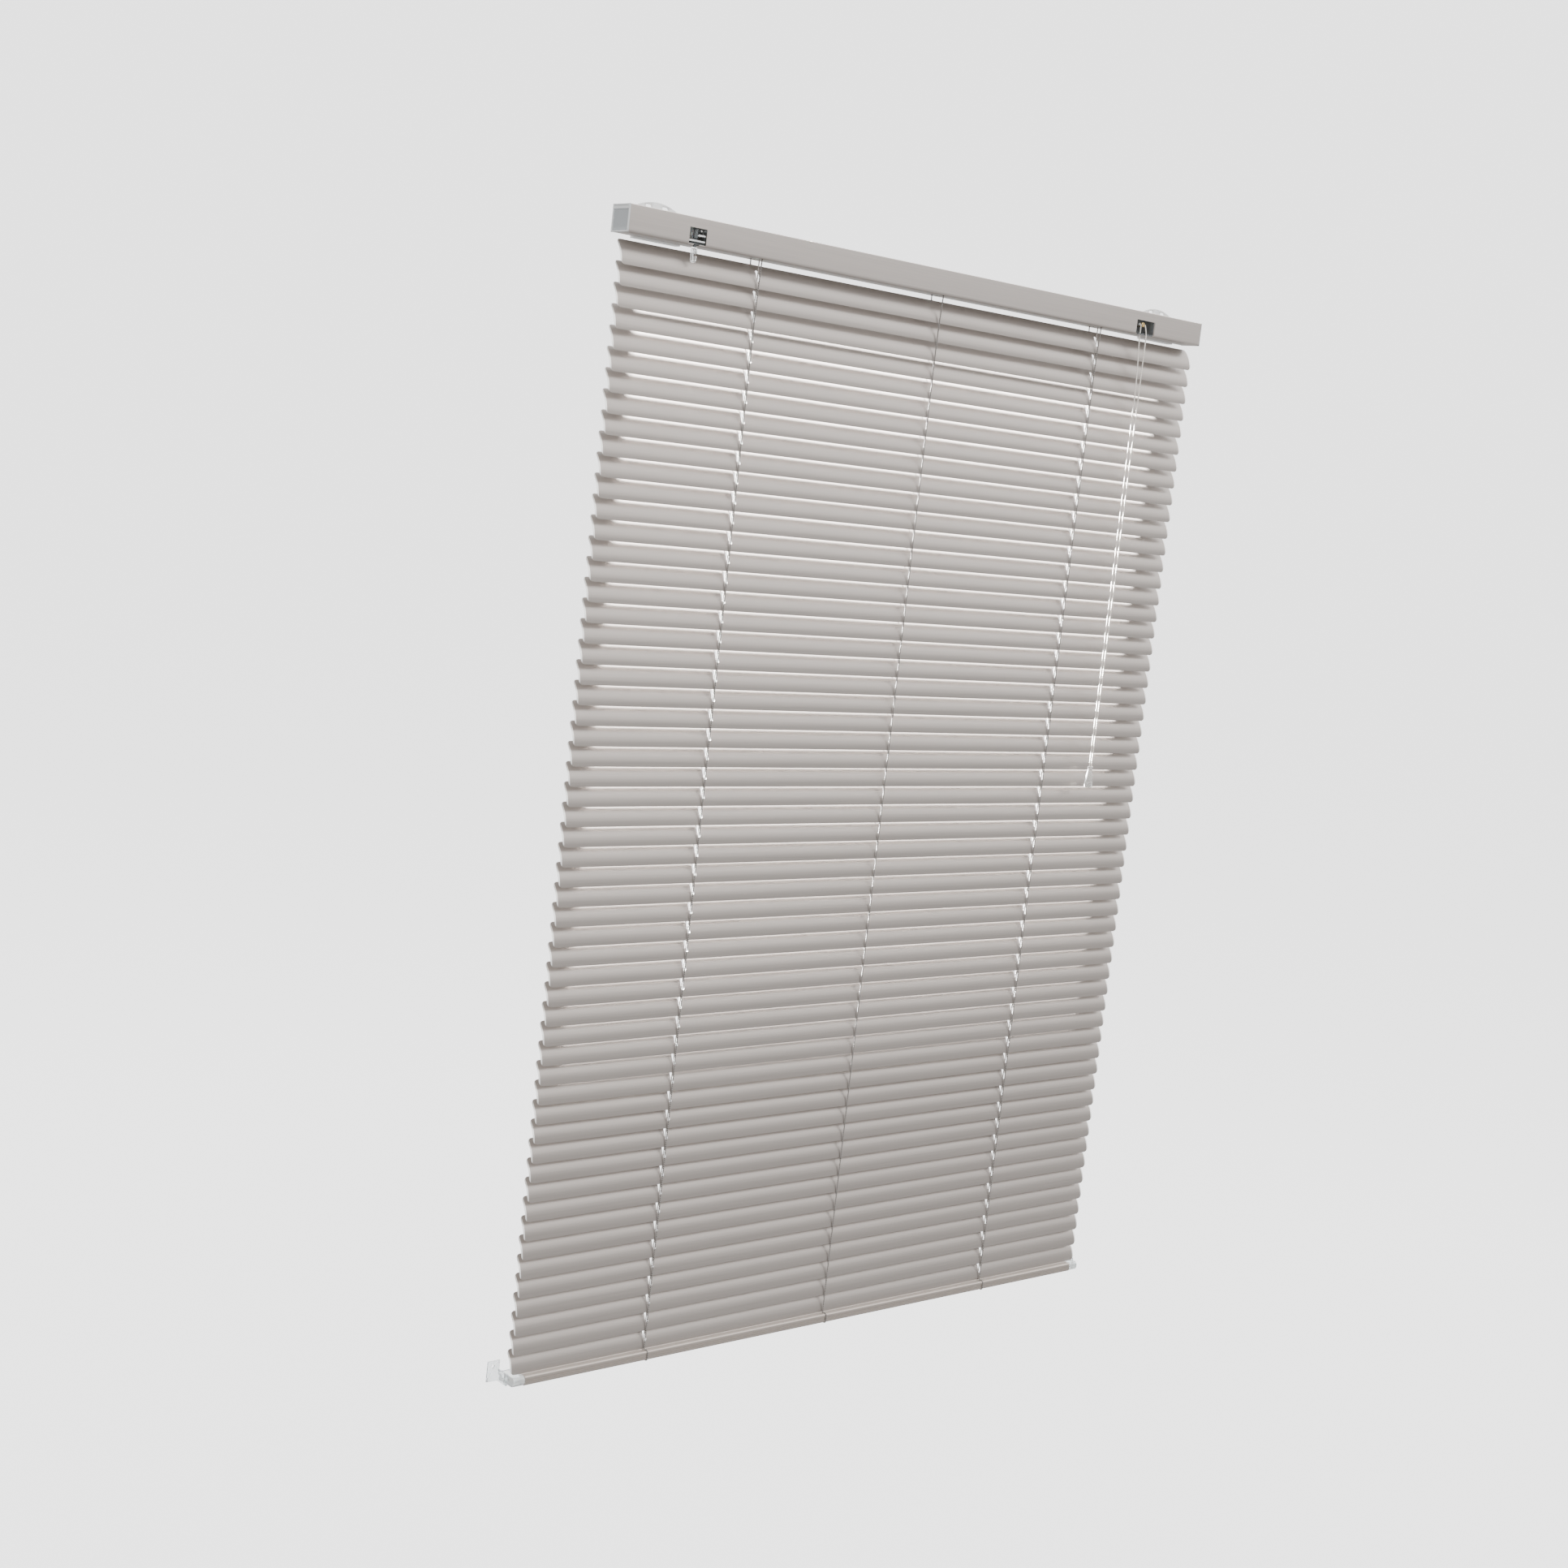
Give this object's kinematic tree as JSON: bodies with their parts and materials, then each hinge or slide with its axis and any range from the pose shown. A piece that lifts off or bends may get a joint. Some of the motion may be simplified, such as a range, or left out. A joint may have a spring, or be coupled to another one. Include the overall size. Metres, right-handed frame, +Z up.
{
  "type": "venetian blind",
  "caption": "Horizontal slat window blind hung from a channel headrail, with tilt and lift gear, string ladders, pull cords and a bottom rail.",
  "frame": {"origin": "centre of the headrail's back face", "axes": "+X along the slats to the right as seen from the room, +Y into the window, +Z up"},
  "size_m": [0.8294, 0.0367, 1.1209],
  "materials": {
    "painted_rail": "satin baked enamel, warm grey",
    "painted_slat": "satin baked enamel on thin aluminium, warm grey with a pearl sheen",
    "white_metal": "gloss white enamel",
    "rod_steel": "drawn steel",
    "pin_steel": "knurled steel",
    "brass": "turned brass",
    "white_plastic": "moulded",
    "button_plastic": "moulded, warm grey",
    "clear_plastic": "clear, polished",
    "ladder_string": "braided polyester, warm grey",
    "cord": "braided polyester, pale warm grey"
  },
  "bodies": {
    "headrail_frame": {"bracket_left": "white_metal", "bracket_right": "white_metal", "cord_lock_housing": "clear_plastic", "cord_lock_roller": "brass", "headrail": "painted_rail", "headrail_cords": "cord", "headrail_end_cap_left": "clear_plastic", "headrail_end_cap_right": "clear_plastic", "hold_down_bracket_left": "clear_plastic", "hold_down_bracket_right": "clear_plastic", "ladder_cradle_left": "white_plastic", "ladder_cradle_middle": "white_plastic", "ladder_cradle_right": "white_plastic", "ladder_left": "ladder_string", "ladder_middle": "ladder_string", "ladder_right": "ladder_string", "lift_cord_left": "cord", "lift_cord_right": "cord", "pull_cord_left": "cord", "pull_cord_right": "cord", "slats_01_to_07": "painted_slat", "slats_08_to_14": "painted_slat", "slats_15_to_21": "painted_slat", "slats_22_to_28": "painted_slat", "slats_29_to_35": "painted_slat", "slats_36_to_42": "painted_slat", "slats_43_to_49": "painted_slat", "slats_50_to_56": "painted_slat", "tilter_housing": "clear_plastic"},
    "tilt_shaft": {"tilt_rod": "rod_steel", "tilt_gear": "white_plastic", "ladder_drum_left": "white_plastic", "ladder_drum_middle": "white_plastic", "ladder_drum_right": "white_plastic"},
    "tilter": {"tilter_worm": "white_plastic", "wand_hook": "clear_plastic"},
    "lock_pin": {"cord_lock_pin": "pin_steel"},
    "bottom_rail_set": {"bottom_rail": "painted_rail", "bottom_rail_end_cap_left": "clear_plastic", "bottom_rail_end_cap_right": "clear_plastic", "ladder_button_left": "button_plastic", "ladder_button_middle": "button_plastic", "ladder_button_right": "button_plastic"},
    "pull_tassel": {"tassel": "clear_plastic"}
  },
  "joints": [
    {"name": "slat_tilt_shaft", "type": "hinge", "parent": "headrail_frame", "child": "tilt_shaft", "pos_m": [0, -0.013, 0], "axis": [-1, 0, 0], "range_deg": [0, 194]},
    {"name": "tilter_hook_turn", "type": "hinge", "parent": "headrail_frame", "child": "tilter", "pos_m": [-0.3215, -0.0217, 0], "axis": [0, 0, 1], "range_deg": [0, 2716]},
    {"name": "cord_lock_pin_slide", "type": "slide", "parent": "headrail_frame", "child": "lock_pin", "axis": [0, 0, 1], "range_m": [0, 0.004]},
    {"name": "bottom_rail_raise", "type": "slide", "parent": "headrail_frame", "child": "bottom_rail_set", "axis": [0, 0, 1], "range_m": [0, 0.93], "deforming": ["slats_01_to_07", "slats_08_to_14", "slats_15_to_21", "slats_22_to_28", "slats_29_to_35", "slats_36_to_42", "slats_43_to_49", "slats_50_to_56", "ladder_left", "ladder_middle", "ladder_right", "lift_cord_left", "lift_cord_right"]},
    {"name": "pull_cord_draw", "type": "slide", "parent": "headrail_frame", "child": "pull_tassel", "axis": [0, 0, -1], "range_m": [0, 0.93], "deforming": ["pull_cord_left", "pull_cord_right"]}
  ],
  "couplings": [
    {"joint": "tilter_hook_turn", "follows": "slat_tilt_shaft", "ratio": 14},
    {"joint": "pull_cord_draw", "follows": "bottom_rail_raise", "ratio": 1}
  ]
}
